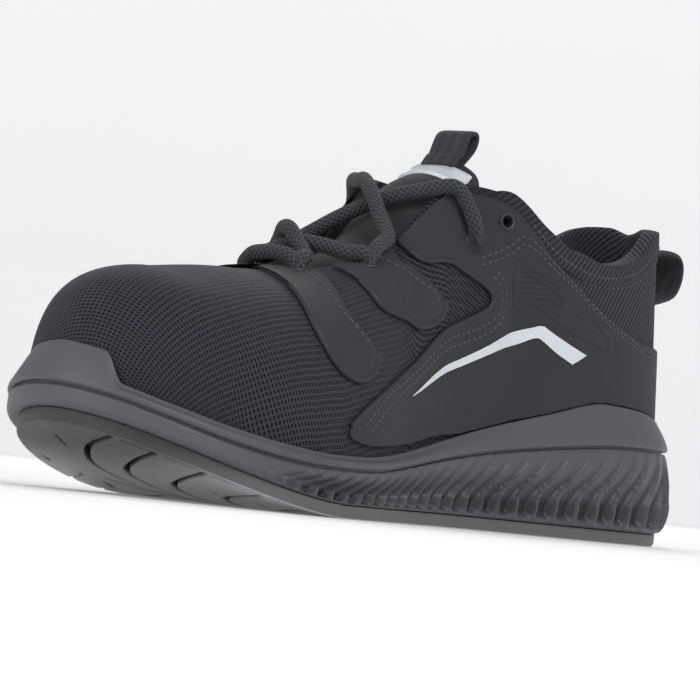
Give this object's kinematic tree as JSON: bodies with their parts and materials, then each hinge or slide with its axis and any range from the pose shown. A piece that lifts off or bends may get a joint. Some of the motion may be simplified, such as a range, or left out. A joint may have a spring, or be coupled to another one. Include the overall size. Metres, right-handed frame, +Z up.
{
  "type": "safety sneaker",
  "caption": "Low safety sneaker for the right foot: lugged sole with ribbed side, toe bumper, mesh vamp, smooth overlays, laced throat and padded collar.",
  "frame": {"origin": "on the floor, under the middle of the shoe's box", "axes": "toe towards -X, inner side of the foot towards -Y, +Z up"},
  "size_m": [0.3158, 0.1102, 0.1392],
  "materials": {
    "tread": "matt lug faces with a fine grain, dark grooves",
    "sole_side": "satin charcoal foam rubber, soft ribs",
    "insole": "plain knit cloth",
    "mesh": "fine dark mesh",
    "nubuck": "matt charcoal microfibre",
    "knit": "matt padded knit",
    "webbing": "ribbed webbing",
    "lace": "round ribbed cord",
    "reflective": "silver reflective film",
    "eyelet": "black rings"
  },
  "bodies": {
    "root": {"outsole": "tread", "midsole": "sole_side", "insole": "insole", "upper": "mesh", "tongue": "knit", "tongue_label": "reflective", "tongue_loop": "webbing", "heel_loop": "webbing", "lace": "lace", "quarter_medial": "nubuck", "quarter_lateral": "nubuck", "finger_front_medial": "nubuck", "finger_front_lateral": "nubuck", "finger_back_medial": "nubuck", "finger_back_lateral": "nubuck", "stripe_medial": "reflective", "stripe_lateral": "reflective", "eyelet_medial_1": "eyelet", "eyelet_medial_2": "eyelet", "eyelet_medial_3": "eyelet", "eyelet_medial_4": "eyelet", "eyelet_lateral_1": "eyelet", "eyelet_lateral_2": "eyelet", "eyelet_lateral_3": "eyelet", "eyelet_lateral_4": "eyelet"}
  },
  "joints": []
}
